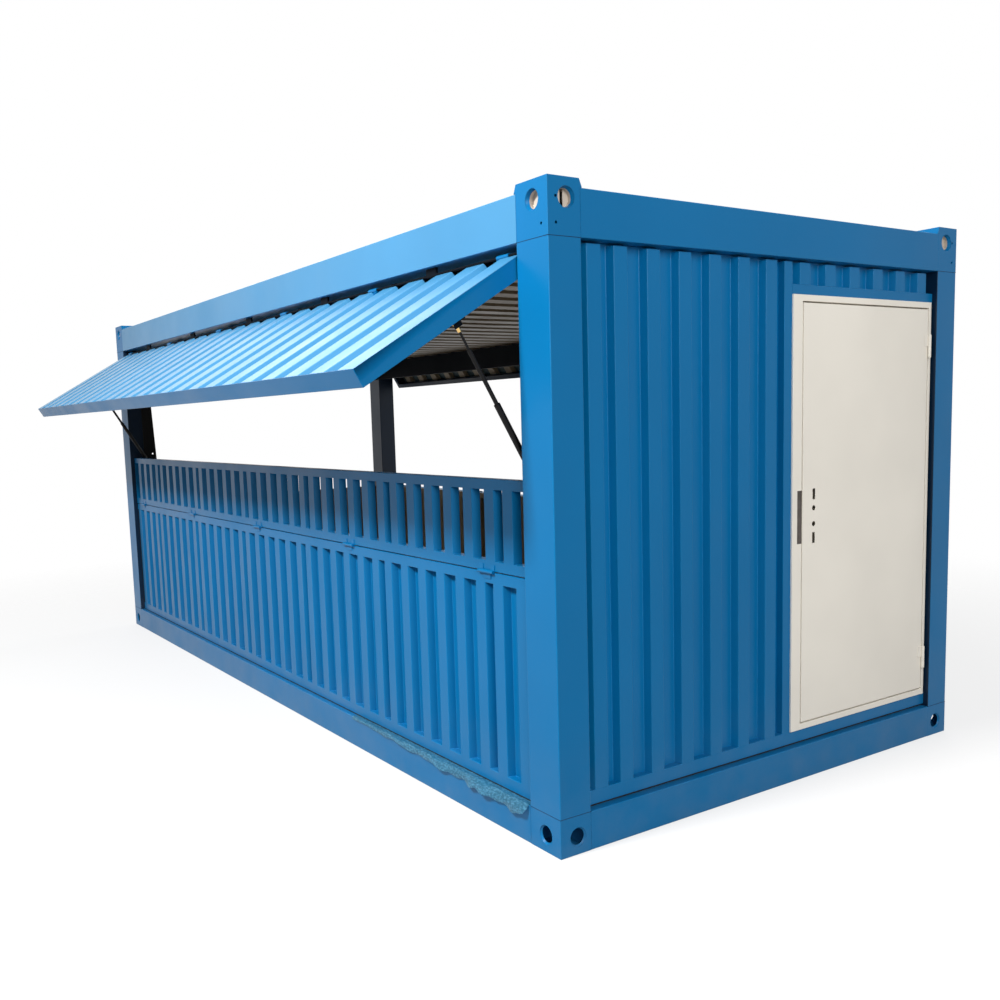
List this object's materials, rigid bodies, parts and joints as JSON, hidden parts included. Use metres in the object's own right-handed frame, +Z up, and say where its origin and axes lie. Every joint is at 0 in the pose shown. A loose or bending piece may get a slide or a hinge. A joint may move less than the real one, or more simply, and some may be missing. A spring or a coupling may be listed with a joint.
{
  "type": "folding container house",
  "caption": "Steel-framed container kiosk with ribbed walls, a fold-up awning on gas struts, a fixed back hood, slotted fold-down flaps and a hinged end door.",
  "frame": {"origin": "centre of the corner blocks' footprint, on the ground", "axes": "+X to the door end, +Y to the back long side, +Z up"},
  "size_m": [6.058, 3.4286, 2.591],
  "materials": {
    "blue_paint": "satin blue enamel on steel",
    "tan_back_coat": "plain tan back coat on ribbed sheet",
    "cream_paint": "smooth off-white enamel",
    "black_paint": "gloss black strut paint",
    "brass": "yellow passivated end fitting",
    "bare_steel": "zinc-plated hinge steel",
    "plywood": "sealed plywood deck"
  },
  "bodies": {
    "house": {"base_corner_blocks": "blue_paint", "base_side_rails": "blue_paint", "base_end_rails": "blue_paint", "floor_joists": "blue_paint", "floor_deck": "plywood", "corner_posts": "blue_paint", "top_corner_blocks": "blue_paint", "top_side_rails": "blue_paint", "top_end_rails": "blue_paint", "roof_sheet": "blue_paint", "ceiling_sheet": "tan_back_coat", "ceiling_joists": "blue_paint", "back_header": "blue_paint", "left_header": "blue_paint", "front_lower_wall": "blue_paint", "back_lower_wall": "blue_paint", "left_lower_wall": "blue_paint", "flap_hinges": "bare_steel", "awning_hinge_rod": "blue_paint", "back_hood_sheet": "blue_paint", "back_hood_frame": "blue_paint", "strut_foot_brackets": "black_paint", "end_wall_sheet": "blue_paint", "end_wall_stiles": "blue_paint", "end_wall_foot": "blue_paint", "end_wall_angle": "blue_paint", "door_top_rail": "blue_paint", "door_transom": "blue_paint", "door_jambs": "cream_paint", "door_head": "cream_paint", "door_sill": "cream_paint", "door_hinges": "cream_paint", "strike_plate": "bare_steel"},
    "awning": {"awning_sheet": "blue_paint", "awning_frame": "blue_paint", "awning_brackets": "blue_paint"},
    "front_flap": {"front_flap": "blue_paint"},
    "back_flap": {"back_flap": "blue_paint"},
    "door": {"door_leaf": "cream_paint"},
    "rods": {"strut_rods": "black_paint", "strut_ends": "brass"},
    "cylinders": {"strut_cylinders": "black_paint"}
  },
  "joints": [
    {"name": "awning_hinge", "type": "hinge", "parent": "house", "child": "awning", "pos_m": [0, -1.2655, 2.345], "axis": [1, 0, 0], "range_deg": [0, 59.3]},
    {"name": "front_flap_hinge", "type": "hinge", "parent": "house", "child": "front_flap", "pos_m": [0, -1.2735, 1.0835], "axis": [1, 0, 0], "range_deg": [0, 180]},
    {"name": "back_flap_hinge", "type": "hinge", "parent": "house", "child": "back_flap", "pos_m": [0, 1.2735, 1.0835], "axis": [1, 0, 0], "range_deg": [0, 180]},
    {"name": "door_hinge", "type": "hinge", "parent": "house", "child": "door", "pos_m": [3.017, 1.103, 1.2], "axis": [0, 0, 1], "range_deg": [0, 105]},
    {"name": "strut_pivot", "type": "hinge", "parent": "house", "child": "cylinders", "pos_m": [0, -1.1605, 1.43], "axis": [1, 0, 0], "range_deg": [-29.2, 0]},
    {"name": "strut_slide", "type": "slide", "parent": "cylinders", "child": "rods", "axis": [0, -0.5084, 0.8611], "range_m": [-0.20842, 0]}
  ],
  "couplings": [
    {"joint": "strut_pivot", "follows": "awning_hinge", "ratio": -0.49205},
    {"joint": "strut_slide", "follows": "awning_hinge", "m_per_rad": -0.20118}
  ]
}
